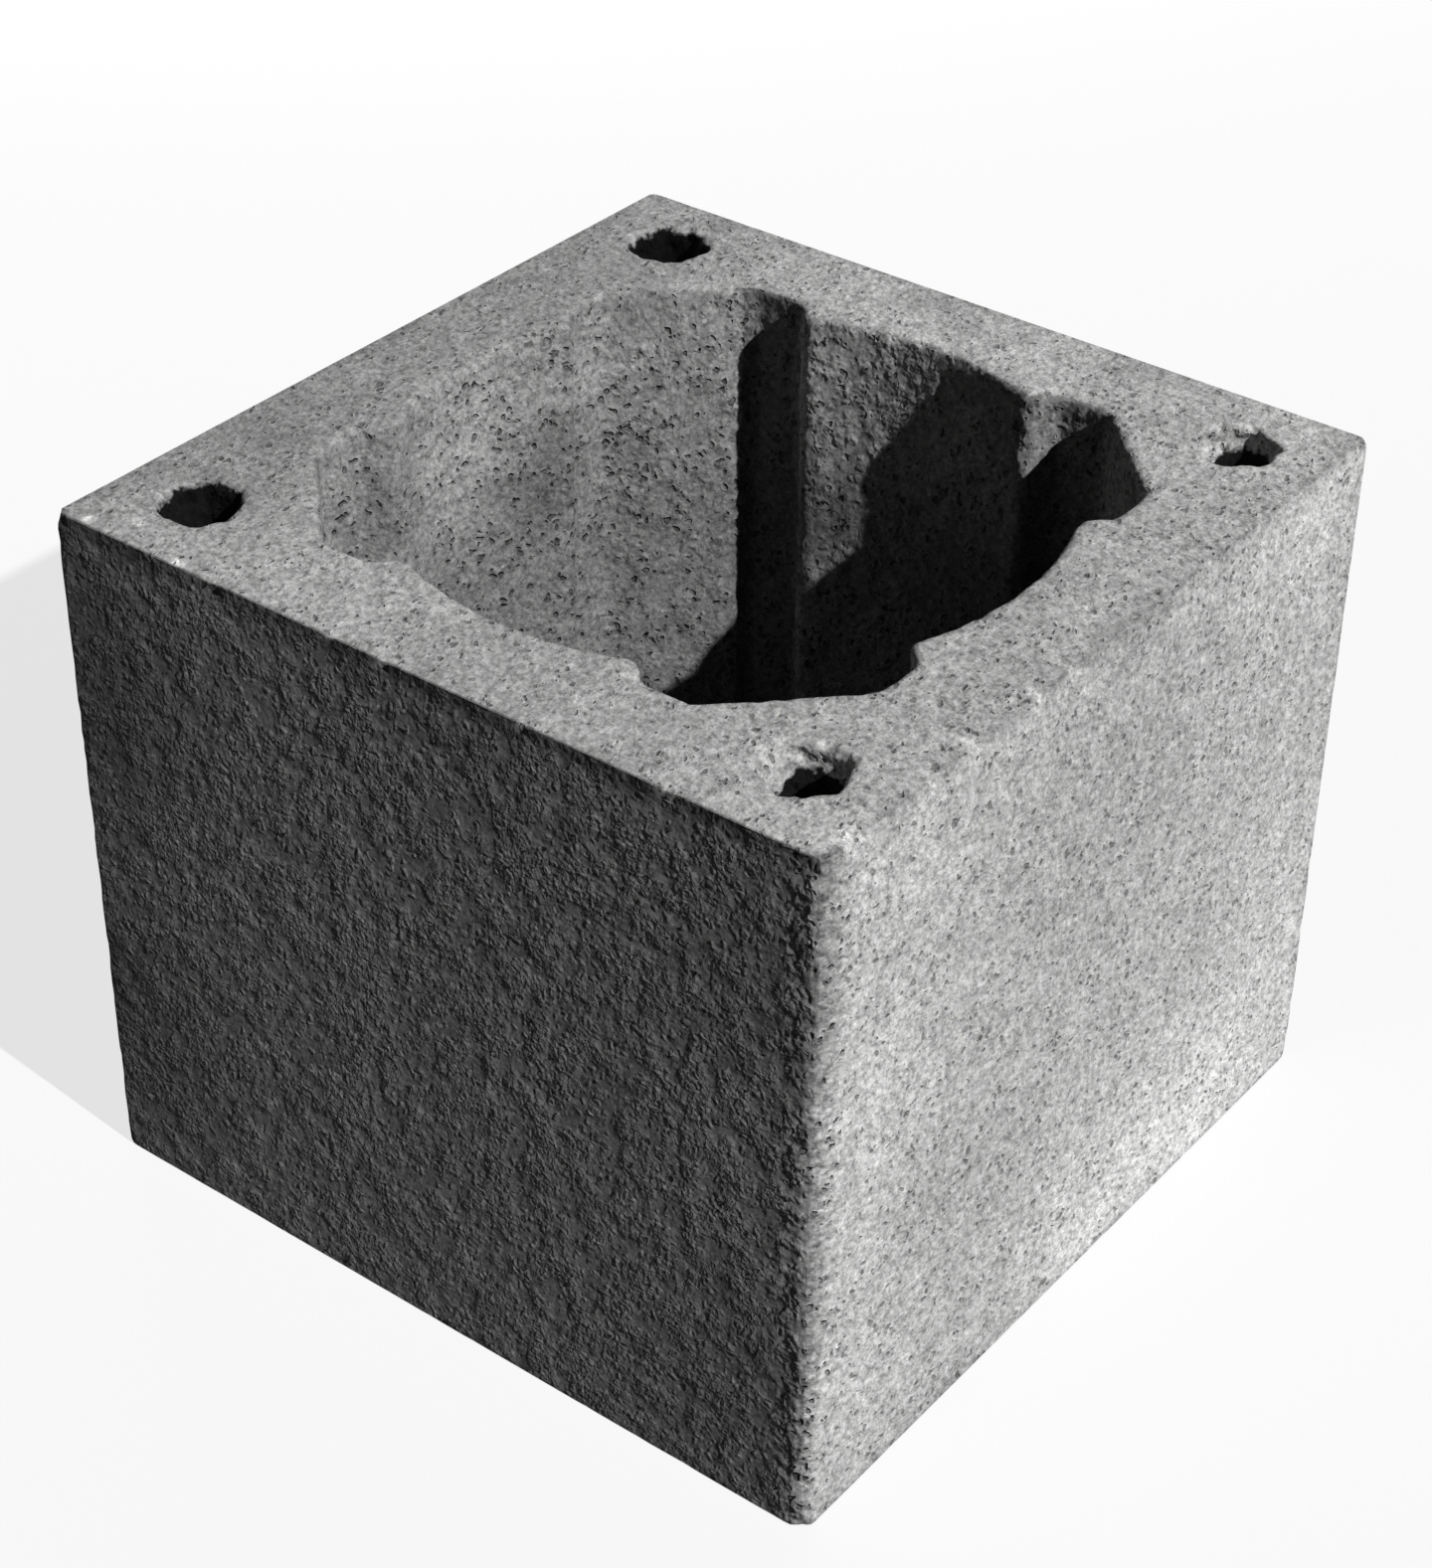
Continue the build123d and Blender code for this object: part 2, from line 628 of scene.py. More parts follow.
    def relief_tree(self) -> bpy.types.GeometryNodeTree:
        """Build the tree that gives the skin its waves and pits and stores the fields for the concrete.

        Returns:
            The tree.
        """
        wear = WearTree("waves_and_pits", self.relief_sizes())
        kit = wear.kit
        core_wall = self.core_wall_field(wear)
        _, convex = wear.pull(8)
        arris = kit.ramp(convex, 0.08 * MM, 0.7 * MM)
        even = kit.scaled(kit.vector("SUBTRACT", wear.blurred(wear.place, 3), wear.place), arris)
        crisp = kit.vector("ADD", even, self.arris_push(wear))
        chipped = kit.ramp(wear.chips(self.chips), 0.3 * MM, 1.6 * MM)
        broad = kit.times(kit.noise(wear.place, self.face_wave * MM, 2.0, 0.55), wear.size("Face waves"))
        both_ways = kit.minus(kit.noise(wear.place, self.core_wave * MM, 2.0, 0.55), 0.55)
        lumpy = kit.times(both_ways, wear.size("Core waves"))
        waves = kit.plus(broad, kit.times(lumpy, core_wall))
        holes = kit.ramp(kit.noise(wear.place, self.pit * MM, 2.0, 0.5), 0.68, 0.78)
        pits = kit.times(holes, core_wall, wear.size("Pit depth"))
        depth = kit.times(kit.plus(waves, pits), -1.0)
        shift = kit.scaled(kit.add("GeometryNodeInputNormal").outputs["Normal"], depth)
        geometry = wear.given.outputs[0]
        for name, value in ((Field.CORE_WALL, core_wall), (Field.ARRIS, arris), (Field.BREAK, chipped)):
            settings = {"data_type": "FLOAT", "domain": "POINT"}
            inputs = {"Geometry": geometry, "Name": name.value, "Value": value}
            geometry = kit.add("GeometryNodeStoreNamedAttribute", settings, inputs).outputs[0]
        wanted = kit.vector("ADD", wear.place, kit.vector("ADD", shift, crisp))
        margin = self.margin * MM
        most = kit.minus(kit.times(wear.size("Side"), 0.5), margin)
        top = wear.combined(most, most, kit.minus(wear.size("Height"), margin))
        least = kit.times(most, -1.0)
        foot = wear.combined(least, least, margin)
        held = kit.vector("MAXIMUM", kit.vector("MINIMUM", wanted, top), foot)
        inputs = {"Geometry": geometry, "Position": held}
        return wear.close(kit.add("GeometryNodeSetPosition", inputs=inputs).outputs[0])

    def arris_push(self, wear: WearTree) -> Socket:
        """Push the outer arrises and corners outwards, so that the fine grid doesn't leave them blunt.

        Args:
            wear: the tree that the nodes go into.

        Returns:
            The push as a vector, 0 away from the arrises.
        """
        kit = wear.kit
        half_height = kit.times(wear.size("Height"), 0.5)
        half_side = kit.times(wear.size("Side"), 0.5)
        from_middle = (wear.x, wear.y, kit.minus(wear.z, half_height))
        near = []
        for value, half in zip(from_middle, (half_side, half_side, half_height)):
            inside = kit.minus(half, kit.math("ABSOLUTE", value))
            near.append(kit.minus(1.0, kit.ramp(inside, 0.0, self.arris_band * MM)))
        pushes = []
        for axis, value in enumerate(from_middle):
            others = kit.math("MAXIMUM", near[(axis + 1) % 3], near[(axis + 2) % 3])
            amount = kit.times(near[axis], others, wear.size("Sharpen"))
            pushes.append(kit.times(amount, kit.math("SIGN", value)))
        return wear.combined(*pushes)

    def core_wall_field(self, wear: WearTree) -> Socket:
        """Mark the walls that the mould's core and rod pins leave.

        Args:
            wear: the tree that the nodes go into.

        Returns:
            1 on the opening's walls, less in the rod holes and 0 elsewhere.
        """
        kit = wear.kit
        tilt = kit.add("ShaderNodeSeparateXYZ", inputs={0: wear.out_of_skin}).outputs[2]
        upright = kit.minus(1.0, kit.ramp(kit.math("ABSOLUTE", tilt), 0.35, 0.8))
        away, _, _ = wear.rod_hole_axes()
        in_rod_hole = kit.math("LESS_THAN", away, kit.plus(wear.size("Rod radius"), self.rod_wall * MM))
        walls = kit.math("MAXIMUM", wear.in_opening(), kit.times(in_rod_hole, 0.6))
        return kit.times(walls, upright)

    def thin_out(self, piece: bpy.types.Object) -> None:
        """Bring the piece under its most triangles, which go where the skin is rough.

        Args:
            piece: the object to thin out.
        """
        thinner = piece.modifiers.new("thin_out", "DECIMATE")
        thinner.decimate_type = "COLLAPSE"
        thinner.ratio = self.most_triangles / (2.0 * len(piece.data.polygons))
        thinner.use_collapse_triangulate = True
        self.settle(piece, "thinned out")
        piece.data.set_sharp_from_angle(angle=math.radians(self.sharp_degrees))
        evener = piece.modifiers.new("even_normals", "WEIGHTED_NORMAL")
        evener.mode = "FACE_AREA_WITH_ANGLE"
        evener.keep_sharp = True
        self.settle(piece, "even normals")

    def make(self, concrete: bpy.types.Material) -> bpy.types.Object:
        """Make the finished block.

        Args:
            concrete: the material of the whole block.

        Returns:
            The finished object.
        """
        piece = self.plain_copy()
        self.remesh(piece)
        self.run_tree(piece, self.rounding_tree(), {**self.wear_sizes(), "Concrete": concrete})
        self.remesh(piece)
        self.run_tree(piece, self.relief_tree(), {**self.relief_sizes(), "Concrete": concrete})
        self.thin_out(piece)
        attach(piece, BODY)
        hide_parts(CAD_NODE)
        return piece


@dataclass(frozen=True)
class PhotographCamera:
    """Camera at the photograph's place, with the photograph's perspective."""

    place: tuple[float, float, float] = (0.7209, -0.9448, 1.0066)
    aim: tuple[float, float, float] = (0.0, -0.0042, 0.1790)
    roll_degrees: float = 0.59
    focal_px: float = 3376.0
    frame_height_px: float = 1577.0
    sensor: float = 36.0

    def make(self) -> bpy.types.Object:
        """Make the camera and set it as the scene's.

        Returns:
            The camera object.
        """
        data = bpy.data.cameras.new("photograph_camera")
        data.sensor_fit = "AUTO"
        data.sensor_width = self.sensor
        data.lens = self.focal_px / self.frame_height_px * self.sensor
        camera = bpy.data.objects.new("photograph_camera", data)
        bpy.context.scene.collection.objects.link(camera)
        forward = (Vector(self.aim) - Vector(self.place)).normalized()
        level_right = forward.cross(Vector((0, 0, 1))).normalized()
        level_up = level_right.cross(forward)
        roll = math.radians(self.roll_degrees)
        right = level_right * math.cos(roll) + level_up * math.sin(roll)
        up = right.cross(forward)
        turn = Matrix((right, up, -forward)).transposed()
        camera.matrix_world = Matrix.Translation(self.place) @ turn.to_4x4()
        bpy.context.scene.camera = camera
        return camera


@dataclass(frozen=True)
class Studio:
    """Pale floor, one hard key from the right, a low soft light behind and a weak even fill."""

    key_azimuth: float = -5.3
    key_elevation: float = 40.8
    key_strength: float = 4.2
    key_angle: float = 0.9
    back_strength: float = 16.0
    fill_level: float = 0.006
    floor_side: float = 12.0

    def floor(self) -> bpy.types.Object:
        """Make the floor, pale to the camera with a light shadow, and darker to the block.

        Returns:
            The floor object.
        """
        half = self.floor_side / 2
        mesh = bpy.data.meshes.new("floor")
        corners = [(-half, -half, 0), (half, -half, 0), (half, half, 0), (-half, half, 0)]
        mesh.from_pydata(corners, [], [(0, 1, 2, 3)])
        floor = bpy.data.objects.new("floor", mesh)
        bpy.context.scene.collection.objects.link(floor)
        material = bpy.data.materials.new("studio_floor")
        material.use_nodes = True
        kit = NodeKit(material.node_tree)
        material.node_tree.nodes.clear()
        path = kit.add("ShaderNodeLightPath")
        seen = kit.math("MAXIMUM", path.outputs["Is Camera Ray"], path.outputs["Is Glossy Ray"])
        pale = kit.add("ShaderNodeEmission", inputs={"Color": (1, 1, 1, 1), "Strength": 1.0})
        matt = kit.add("ShaderNodeBsdfDiffuse", inputs={"Color": (0.85, 0.85, 0.85, 1)})
        dark = kit.add("ShaderNodeBsdfDiffuse", inputs={"Color": (0.02, 0.02, 0.02, 1)})
        shown = kit.add("ShaderNodeMixShader", inputs={0: 0.25, 1: pale.outputs[0], 2: matt.outputs[0]})
        final = kit.add("ShaderNodeMixShader", inputs={0: seen, 1: dark.outputs[0], 2: shown.outputs[0]})
        kit.add("ShaderNodeOutputMaterial", inputs={"Surface": final.outputs[0]})
        mesh.materials.append(material)
        return floor

    def world(self) -> None:
        """Make the surroundings white to the camera and a weak even light to the block."""
        world = bpy.data.worlds.new("studio")
        world.use_nodes = True
        kit = NodeKit(world.node_tree)
        world.node_tree.nodes.clear()
        path = kit.add("ShaderNodeLightPath")
        seen = kit.math("MAXIMUM", path.outputs["Is Camera Ray"], path.outputs["Is Glossy Ray"])
        pale = kit.add("ShaderNodeBackground", inputs={"Color": (1, 1, 1, 1), "Strength": 1.0})
        fill = kit.add("ShaderNodeBackground", inputs={"Color": (1, 1, 1, 1), "Strength": self.fill_level})
        final = kit.add("ShaderNodeMixShader", inputs={0: seen, 1: fill.outputs[0], 2: pale.outputs[0]})
        kit.add("ShaderNodeOutputWorld", inputs={"Surface": final.outputs[0]})
        bpy.context.scene.world = world

    def lamps(self) -> None:
        """Make the key and the soft back light."""
        azimuth = math.radians(self.key_azimuth)
        elevation = math.radians(self.key_elevation)
        toward = Vector((math.cos(elevation) * math.cos(azimuth),
                         math.cos(elevation) * math.sin(azimuth),
                         math.sin(elevation)))
        key = bpy.data.lights.new("key", "SUN")
        key.energy = self.key_strength
        key.angle = math.radians(self.key_angle)
        self.place_lamp(key, toward * 3.0, Vector((0, 0, 0.15)))
        back = bpy.data.lights.new("back_softbox", "AREA")
        back.shape = "RECTANGLE"
        back.size = 1.8
        back.size_y = 0.3
        back.energy = self.back_strength
        self.place_lamp(back, Vector((-1.6, 1.6, 0.4)), Vector((0, 0, 0.2)))

    def place_lamp(self, light: bpy.types.Light, place: Vector, aim: Vector) -> None:
        """Put a lamp at a place, pointing at another.

        Args:
            light: the lamp's data.
            place: where it stands.
            aim: where it points.
        """
        lamp = bpy.data.objects.new(light.name, light)
        bpy.context.scene.collection.objects.link(lamp)
        lamp.location = place
        lamp.rotation_euler = (aim - place).to_track_quat("-Z", "Y").to_euler()

    def make(self) -> None:
        """Make the floor, the world and the lamps."""
        self.floor()
        self.world()
        self.lamps()


@dataclass(frozen=True)
class Patch:
    """A soft patch painted paler or darker, some of them as painted light or shade. Place and reach in
    millimetres.
    """

    x: float
    y: float
    z: float
    reach: float
    tone: float
    on_core_wall: bool = False


PATCHES = [
    Patch(-178.0, 90.0, 332.0, 140.0, 0.68),
    Patch(-178.0, -40.0, 332.0, 110.0, 0.73),
    Patch(-165.0, -120.0, 332.0, 90.0, 0.72),
    Patch(20.0, -178.0, 332.0, 120.0, 0.9),
    Patch(15.0, 180.0, 332.0, 90.0, 1.1),
    # painted light: the right face's foot lighter, as light thrown up from the ground
    Patch(190.0, 40.0, 0.0, 130.0, 1.42),
    Patch(190.0, 150.0, 20.0, 120.0, 1.34),
    Patch(190.0, 150.0, 322.0, 80.0, 1.22),
    Patch(190.0, 0.0, 245.0, 120.0, 0.86),
    Patch(190.0, -80.0, 120.0, 80.0, 0.92),
    Patch(190.0, -175.0, 190.0, 100.0, 1.2),
    Patch(190.0, -175.0, 60.0, 90.0, 1.15),
    Patch(-205.0, -190.0, 255.0, 125.0, 0.52),
    Patch(-205.0, -190.0, 80.0, 125.0, 0.6),
    Patch(190.0, -190.0, 240.0, 110.0, 0.8),
    Patch(190.0, -190.0, 60.0, 110.0, 0.75),
    # painted light: a pool of light on the sunlit left wall of the opening
    Patch(-142.0, 0.0, 300.0, 60.0, 1.28, True),
    Patch(-141.0, 80.0, 300.0, 40.0, 1.25, True),
    Patch(-138.0, -64.0, 285.0, 35.0, 0.75, True),
    Patch(-136.0, 44.0, 262.0, 50.0, 0.68, True),
    Patch(-43.0, 139.0, 232.0, 36.0, 0.6, True),
    # painted shade: the back wall under the back-right rim, and lower down where the cast shadow falls
    Patch(60.0, 140.0, 322.0, 70.0, 0.68, True),
    Patch(70.0, 140.0, 200.0, 110.0, 0.5, True),
    Patch(190.0, -155.0, 318.0, 70.0, 1.15),
    Patch(190.0, 178.0, 130.0, 90.0, 1.14),
    Patch(-175.0, -185.5, 330.0, 4.5, 2.6),
    Patch(-158.0, -175.5, 330.0, 4.5, 2.0),
    Patch(-124.0, -188.0, 330.0, 5.5, 2.4),
]


@dataclass(frozen=True)
class Grain:
    """How coarse and open the concrete's skin is. Widths, heights and depths are in millimetres."""

    lump: float
    lump_height: float
    bead_height: float
    fine: float
    fine_height: float
    pit: float
    pit_depth: float
    pit_share: float  # how many of the cells hold a pit
    speckle: float  # how strongly the grains differ in tone

    def inputs(self) -> dict[str, float]:
        """Give the grain group's inputs, in metres and shares."""
        lengths = in_metres({"Lump": self.lump, "Lump height": self.lump_height,
                             "Bead height": self.bead_height, "Fine": self.fine,
                             "Fine height": self.fine_height, "Pit": self.pit, "Pit depth": self.pit_depth})
        return {**lengths, "Pit share": self.pit_share, "Speckle": self.speckle}


@dataclass(frozen=True)
class LightweightConcrete:
    """Open-textured grey concrete: pressed faces outside, coarser and darker walls where the core stood."""

    grey: tuple[float, float, float] = (0.45, 0.45, 0.447)
    core_tone: float = 0.5
    # painted shade in the pits
    pit_shade_tone: float = 0.46
    bed_tone: float = 0.98
    # opening walls: partly a darker skin, partly painted shade lower down and painted light near the rim
    deep_wall_tone_and_shade: float = 0.74
    upper_wall_tone_and_light: float = 1.36
    # painted shade: the rod holes' walls near-black
    rod_hole_black_shade: float = 0.02
    # painted shade in the back-left channel's recess, where its cast shadow falls
    recess_shade_tone: float = 0.5
    # painted shade: the shadowed lower edge of the front face's rounded top arris
    under_arris_shade_tone: float = 0.5
    # painted shade: the whole front face darker, for the self-shadowing that grazing light gives it
    front_face_shade_tone: float = 0.93
    crumb_tone: float = 1.35
    draw_out: tuple[float, float, float] = (0.495, -0.649, 0.578)  # diagonal of the drawn-out grain
    draw_out_share: float = 0.42
    roughness: float = 0.95
    specular: float = 0.08
    # painted shade that dulls the lit bevel at arrises and rims
    rim_and_arris_shade: float = 0.72
    # painted shade: streaky grazing shadows on the rounded front corner
    corner_shade_tone: float = 0.42
    corner_shade_reach_foot: float = 6.0
    corner_shade_reach_top: float = 19.0
    cloud: float = 16.0
    open_patch: float = 13.0
    mottle: float = 3.0
    crumb: float = 2.6
    streak: float = 2.2
    ragged: float = 5.0
    upper_wall: tuple[float, float] = (205.0, 318.0)
    under_arris_shade_heights: tuple[float, float] = (320.0, 326.0)
    front_y: float = -188.8
    recess_y: float = 138.8
    recess_x: float = -58.0
    rod_hole_reach: float = 21.0
    front_corner: float = 364.0  # x less y, past which the front corner's skin is coarse
    face: Grain = Grain(lump=3.4, lump_height=0.25, bead_height=0.45, fine=1.5, fine_height=0.27,
                        pit=3.0, pit_depth=0.58, pit_share=0.68, speckle=0.63)
    core: Grain = Grain(lump=4.0, lump_height=0.9, bead_height=0.9, fine=1.6, fine_height=0.32,
                        pit=3.6, pit_depth=1.6, pit_share=0.95, speckle=0.66)

    def grain_group(self) -> bpy.types.ShaderNodeTree:
        """Build the group that gives the height, the speckle and the pits of a concrete skin.

        Returns:
            The node group.
        """
        tree = bpy.data.node_groups.new("open_grain", "ShaderNodeTree")
        kit = NodeKit(tree)
        kit.input_socket("Place", None, "NodeSocketVector")
        for name, value in self.face.inputs().items():
            kit.input_socket(name, value)
        for name in ("Height", "Tone", "Pits"):
            tree.interface.new_socket(name, in_out="OUTPUT", socket_type="NodeSocketFloat")
        given = kit.add("NodeGroupInput").outputs
        place = given["Place"]
        openness = kit.ramp(kit.noise(place, self.open_patch * MM, 1.0, 0.6, (2.1, 0.4, 1.1)), 0.36, 0.64)
        lumps = kit.noise(place, given["Lump"], 1.0, 0.55)
        fine = kit.noise(place, given["Fine"], 1.0, 0.6, (0.7, 1.3, 0.2))
        sideways = kit.vector("SUBTRACT", kit.noise_colour(place, given["Lump"]), (0.5, 0.5, 0.5))
        bent = kit.vector("ADD", place, kit.scaled(sideways, kit.times(given["Pit"], 1.1)))
        frequency = kit.math("DIVIDE", 1.0, given["Pit"])
        cells = kit.add("ShaderNodeTexVoronoi", inputs={"Vector": bent, "Scale": frequency}).outputs
        chance, other_chance, _ = kit.add("ShaderNodeSeparateColor", inputs={0: cells["Color"]}).outputs
        share = kit.times(given["Pit share"], kit.stretched(openness, 1.3, 0.25))
        spread = kit.ramp(chance, kit.minus(1.0, share), 1.0, smooth=False)
        width = kit.stretched(kit.times(spread, spread), 0.62, 0.02)
        inner = kit.times(width, 0.4)
        pits = kit.minus(1.0, kit.ramp(cells["Distance"], inner, width))
        lift = kit.times(given["Lump height"], kit.stretched(openness, 1.3, 0.35))
        fine_lift = kit.times(given["Fine height"], kit.stretched(openness, 1.2, 0.3))
        raised = kit.plus(kit.times(lumps, lift), kit.times(fine, fine_lift))
        beads = kit.minus(1.0, kit.ramp(cells["Distance"], 0.0, 0.75))
        tall = kit.times(given["Bead height"], kit.math("POWER", other_chance, 2.0))
        raised = kit.plus(raised, kit.times(beads, tall))
        height = kit.minus(raised, kit.times(pits, given["Pit depth"]))
        mottle = kit.minus(kit.noise(place, self.mottle * MM, 2.0, 0.9), 0.5)
        mottle = kit.times(mottle, 4.0)
        tone = kit.plus(1.0, kit.times(mottle, given["Speckle"]))
        kit.add("NodeGroupOutput", inputs={0: height, 1: tone, 2: pits})
        return tree

    def grain(self, kit: NodeKit, tree: bpy.types.ShaderNodeTree, place: Socket,
              coarse: Socket) -> bpy.types.Node:
        """Place the grain group in the material, with the values of the skin at each place.

        Args:
            kit: the material's nodes.
            tree: the grain group.
            place: the place in metres.
            coarse: 0 on the pressed faces, 1 on the core's walls.

        Returns:
            The group's node.
        """
        face, core = self.face.inputs(), self.core.inputs()
        values = {name: kit.mixed(coarse, face[name], core[name]) for name in face}
        return kit.add("ShaderNodeGroup", {"node_tree": tree}, {"Place": place, **values})

    def patchiness(self, kit: NodeKit, place: Socket, core_wall: Socket) -> Socket:
        """Give the slow changes of tone: soft clouds, the placed patches and the tones by height, some of
        them painted light and shade.

        Args:
            kit: the material's nodes.
            place: the place in metres.
            core_wall: how far the place is on a wall that the core left.

        Returns:
            A factor around 1.
        """
        y = kit.add("ShaderNodeSeparateXYZ", inputs={0: place}).outputs[1]
        clouds = kit.noise(place, self.cloud * MM, 2.0, 0.6)
        tone = kit.stretched(clouds, 0.6, 0.7)
        for patch in PATCHES:
            away = kit.vector("DISTANCE", place, (patch.x * MM, patch.y * MM, patch.z * MM))
            inside = kit.minus(1.0, kit.ramp(away, 0.1 * patch.reach * MM, patch.reach * MM))
            if patch.y < -189.0:
                inside = kit.times(inside, kit.math("LESS_THAN", y, -188.0 * MM))
            if patch.on_core_wall:
                inside = kit.times(inside, kit.math("GREATER_THAN", core_wall, 0.2))
            tone = kit.times(tone, kit.stretched(inside, patch.tone - 1.0, 1.0))
        return kit.times(tone, self.height_tones(kit, place, core_wall))

    def height_tones(self, kit: NodeKit, place: Socket, core_wall: Socket) -> Socket:
        """Give the tones that depend on the distance from the bed faces.

        Args:
            kit: the material's nodes.
            place: the place in metres.
            core_wall: how far the place is on a wall that the core left.

        Returns:
            A factor: walls lighter near the top and darker lower down, partly as painted light and shade;
                rod holes painted near-black as shade; painted shade over the front face, darkest under its
                arris.
        """
        x, y, z = kit.add("ShaderNodeSeparateXYZ", inputs={0: place}).outputs
        middle = PLAIN.height / 2 * MM
        from_bed = kit.minus(middle, kit.math("ABSOLUTE", kit.minus(z, middle)))
        on_bed = kit.minus(1.0, kit.ramp(from_bed, 1.0 * MM, 2.5 * MM))
        tone = kit.mixed(on_bed, 1.0, self.bed_tone)
        # Opening walls lighter near the top and darker lower down: partly a darker skin, partly painted
        # light and shade of the opening's depth.
        rise = kit.ramp(z, *(height * MM for height in self.upper_wall))
        wall = kit.mixed(rise, self.deep_wall_tone_and_shade, self.upper_wall_tone_and_light)
        tone = kit.times(tone, kit.mixed(core_wall, 1.0, wall))
        # Painted shade: the back-left channel's recess darker where its cast shadow falls.
        in_recess = kit.times(kit.math("GREATER_THAN", y, self.recess_y * MM),
                             kit.math("LESS_THAN", x, self.recess_x * MM))
        in_recess = kit.times(in_recess, kit.math("GREATER_THAN", core_wall, 0.5))
        tone = kit.times(tone, kit.mixed(in_recess, 1.0, self.recess_shade_tone))
        lumps = kit.noise(place, self.ragged * MM, 2.0, 0.6)
        ragged = kit.stretched(lumps, 2.2 * self.ragged * MM, -1.1 * self.ragged * MM)
        # Painted shade: the rod holes' walls near-black below a ragged depth.
        dark = self.rod_hole_shade(kit, x, y, kit.plus(from_bed, ragged))
        tone = kit.times(tone, kit.mixed(dark, 1.0, self.rod_hole_black_shade))
        # Painted shade: the whole front face a little darker under its grazing light.
        in_front = kit.math("LESS_THAN", y, self.front_y * MM)
        # Painted shade under the front face's rounded top arris.
        under_arris_shaded = kit.ramp(kit.plus(z, ragged), *(height * MM for height in self.under_arris_shade_heights))
        under_arris_shaded = kit.times(under_arris_shaded, in_front)
        front_tone = kit.mixed(under_arris_shaded, self.front_face_shade_tone, self.under_arris_shade_tone)
        return kit.times(tone, kit.mixed(in_front, 1.0, front_tone))

    def rod_hole_shade(self, kit: NodeKit, x: Socket, y: Socket, depth: Socket) -> Socket:
        """Mark the rod holes' walls that are painted near-black as shade, starting lower in the holes on
        the right.

        Args:
            kit: the material's nodes.
            x: the place in X.
            y: the place in Y.
            depth: the distance from the nearer bed face, made ragged.

        Returns:
            1 deep in a rod hole, 0 elsewhere.
        """
        half_spacing = PLAIN.rod_spacing / 2 * MM
        across = kit.minus(kit.math("ABSOLUTE", x), half_spacing)
        from_core = kit.minus(y, PLAIN.core_offset * MM)
        side = kit.math("SIGN", from_core)
        along = kit.minus(from_core, kit.times(side, half_spacing))
        axis_place = kit.add("ShaderNodeCombineXYZ", inputs={0: across, 1: along, 2: 0.0}).outputs[0]
        in_hole = kit.math("LESS_THAN", kit.vector("LENGTH", axis_place), self.rod_hole_reach * MM)
        aside = kit.stretched(along, 0.6, kit.times(across, 0.8))
        left_end = kit.ramp(kit.times(aside, -1.0), 2.0 * MM, 10.0 * MM)
        lower = kit.stretched(left_end, 9.0 * MM, 8.0 * MM)
        start = kit.stretched(kit.math("GREATER_THAN", x, 0.0), lower, 1.0 * MM)
        return kit.times(kit.ramp(kit.minus(depth, start), 0.0, 3.0 * MM), in_hole)

    def painted_corner_shade(self, kit: NodeKit, place: Socket) -> Socket:
        """Give the painted shade right of the front corner: streaky grazing shadows on its rounding, wider
        at the top.

        Args:
            kit: the material's nodes.
            place: the place in metres.

        Returns:
            A factor of 1 away from the band.
        """
        x, y, z = kit.add("ShaderNodeSeparateXYZ", inputs={0: place}).outputs
        up = kit.math("DIVIDE", z, PLAIN.height * MM, clamp=True)
        reach = kit.mixed(up, self.corner_shade_reach_foot * MM, self.corner_shade_reach_top * MM)
        from_corner = kit.math("DIVIDE", kit.plus(y, PLAIN.side / 2 * MM), reach)
        drawn_out = kit.vector("MULTIPLY", place, (1.0, 0.35, 1.0))
        streaks = kit.minus(kit.noise(drawn_out, self.streak * MM, 1.0), 0.5)
        past = kit.plus(from_corner, kit.times(streaks, 1.6))
        band = kit.minus(1.0, kit.ramp(past, 0.0, 1.0, smooth=False))
        on_right = kit.ramp(x, 184.0 * MM, 188.0 * MM)
        return kit.mixed(kit.times(band, on_right), 1.0, self.corner_shade_tone)

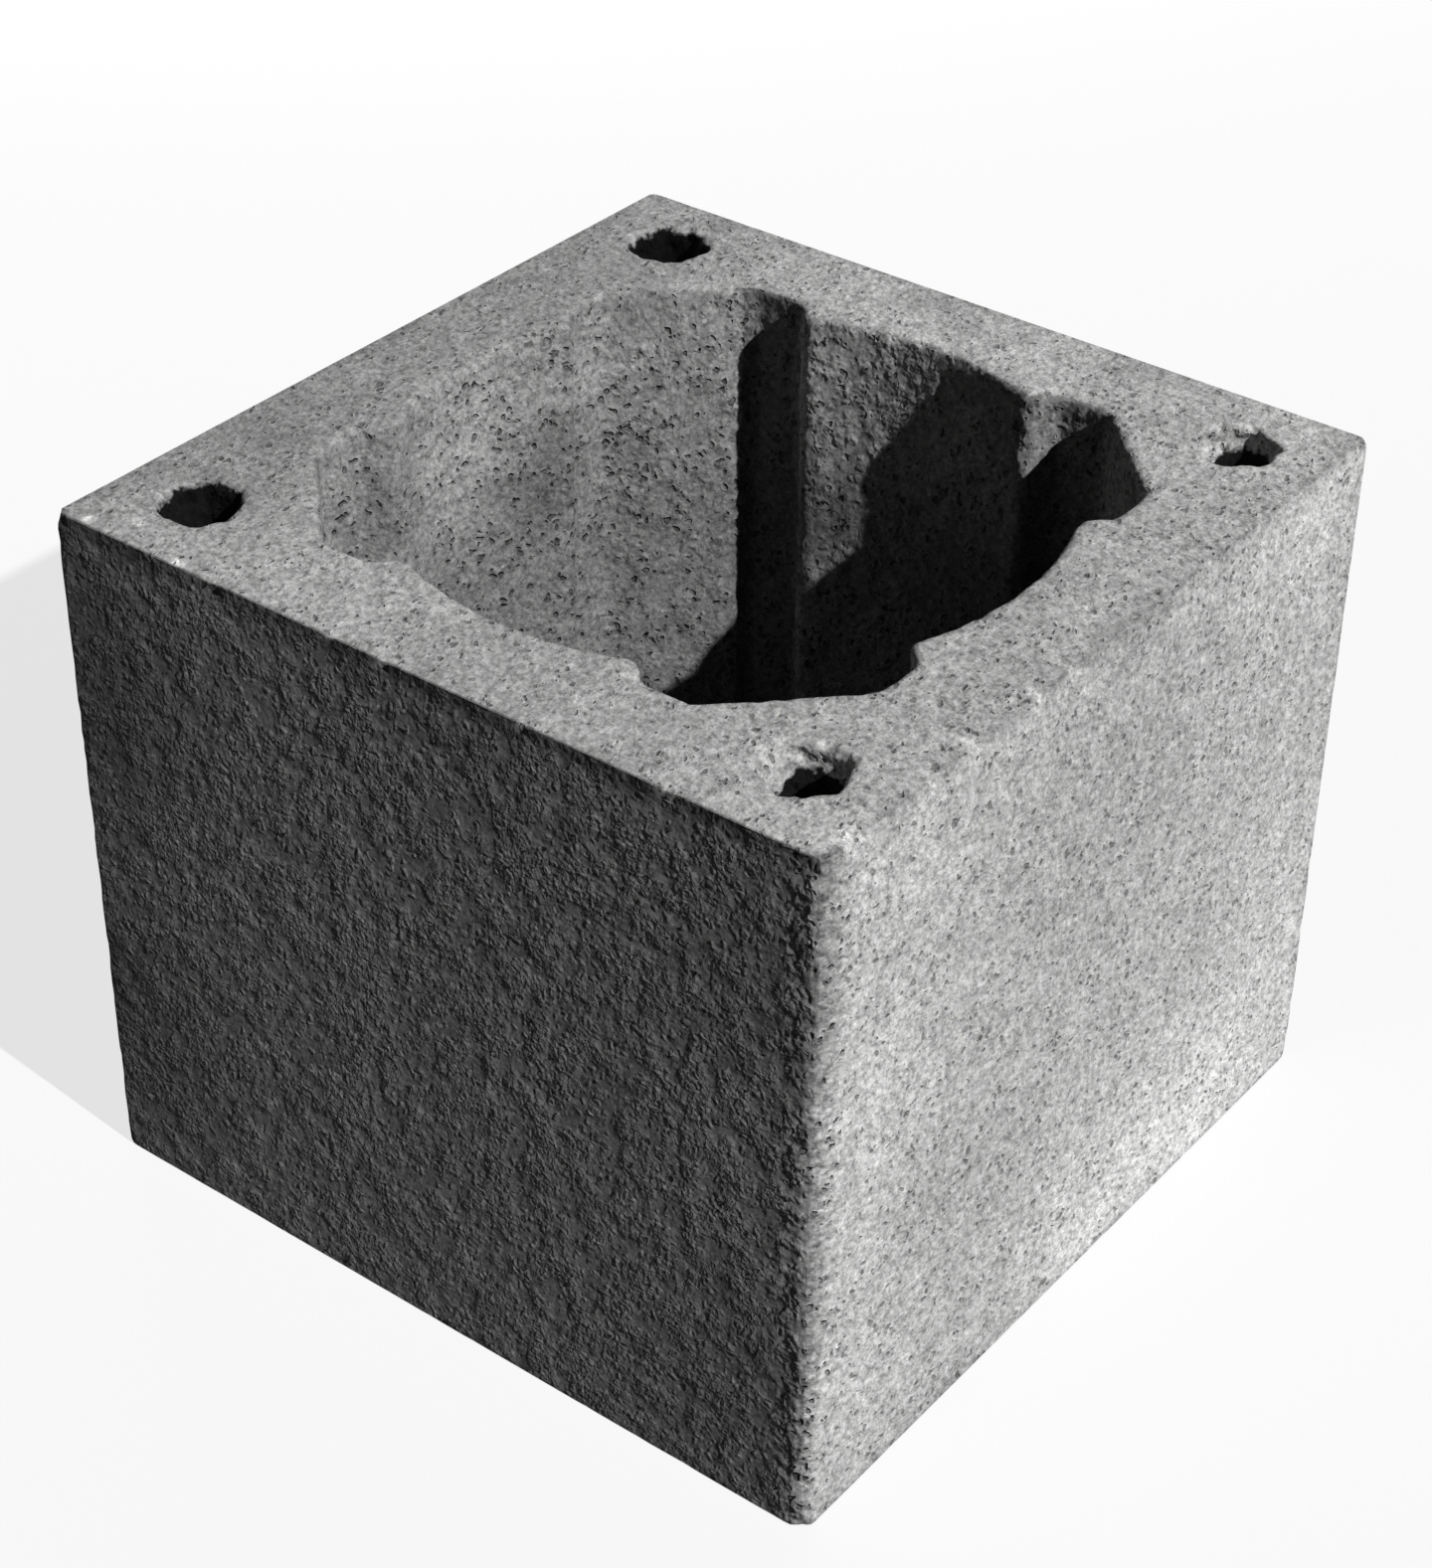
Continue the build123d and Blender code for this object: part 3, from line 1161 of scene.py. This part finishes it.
    def make(self) -> bpy.types.Material:
        """Make the material.

        Returns:
            The concrete.
        """
        material = bpy.data.materials.new(CONCRETE_SLOT)
        material.use_nodes = True
        tree = material.node_tree
        kit = NodeKit(tree)
        shader = tree.nodes["Principled BSDF"]
        place = kit.add("ShaderNodeTexCoord").outputs["Object"]
        core_wall, broken, arris = (
            kit.add("ShaderNodeAttribute", {"attribute_name": name.value}).outputs["Fac"]
            for name in (Field.CORE_WALL, Field.BREAK, Field.ARRIS))
        x, y, _ = kit.add("ShaderNodeSeparateXYZ", inputs={0: place}).outputs
        at_front_corner = kit.math("GREATER_THAN", kit.minus(x, y), self.front_corner * MM)
        rough = kit.math("MAXIMUM", kit.math("MAXIMUM", core_wall, broken), at_front_corner)
        coarse = kit.math("GREATER_THAN", rough, 0.5)
        along = kit.times(kit.vector("DOT_PRODUCT", place, self.draw_out), self.draw_out_share)
        drawn_out = kit.vector("SUBTRACT", place, kit.scaled(self.draw_out, along))
        grain = self.grain(kit, self.grain_group(), drawn_out, coarse)
        height, speckle, pits = grain.outputs
        tone = kit.times(speckle, self.patchiness(kit, place, core_wall))
        tone = kit.times(tone, kit.mixed(core_wall, 1.0, self.core_tone))
        # Painted shade: the pits darker, as the shadow inside them.
        tone = kit.times(tone, kit.mixed(pits, 1.0, self.pit_shade_tone))
        # Painted shade: arrises and rims darker, dulling their lit bevel.
        tone = kit.times(tone, kit.mixed(arris, 1.0, self.rim_and_arris_shade))
        # Painted shade: streaky grazing shadows right of the front corner.
        tone = kit.times(tone, self.painted_corner_shade(kit, place))
        crumbs = kit.ramp(kit.noise(drawn_out, self.crumb * MM, 1.0, 0.5, (0.3, 2.2, 0.9)), 0.68, 0.78)
        tone = kit.times(tone, kit.mixed(crumbs, 1.0, self.crumb_tone))
        kit.feed(shader.inputs["Base Color"], kit.scaled(self.grey, tone))
        shader.inputs["Roughness"].default_value = self.roughness
        shader.inputs["Specular IOR Level"].default_value = self.specular
        bump = kit.add("ShaderNodeBump", inputs={"Height": height, "Distance": 1.0, "Strength": 1.0})
        kit.feed(shader.inputs["Normal"], bump.outputs[0])
        return material


def main() -> None:
    """Build the scene."""
    concrete = LightweightConcrete().make()
    block = CasingBlock().make(concrete)
    log.info("made %s: %d triangles", block.name, len(block.data.polygons))
    PhotographCamera().make()
    Studio().make()
    bpy.context.scene.view_settings.view_transform = "Standard"


if __name__ == "__main__":
    main()
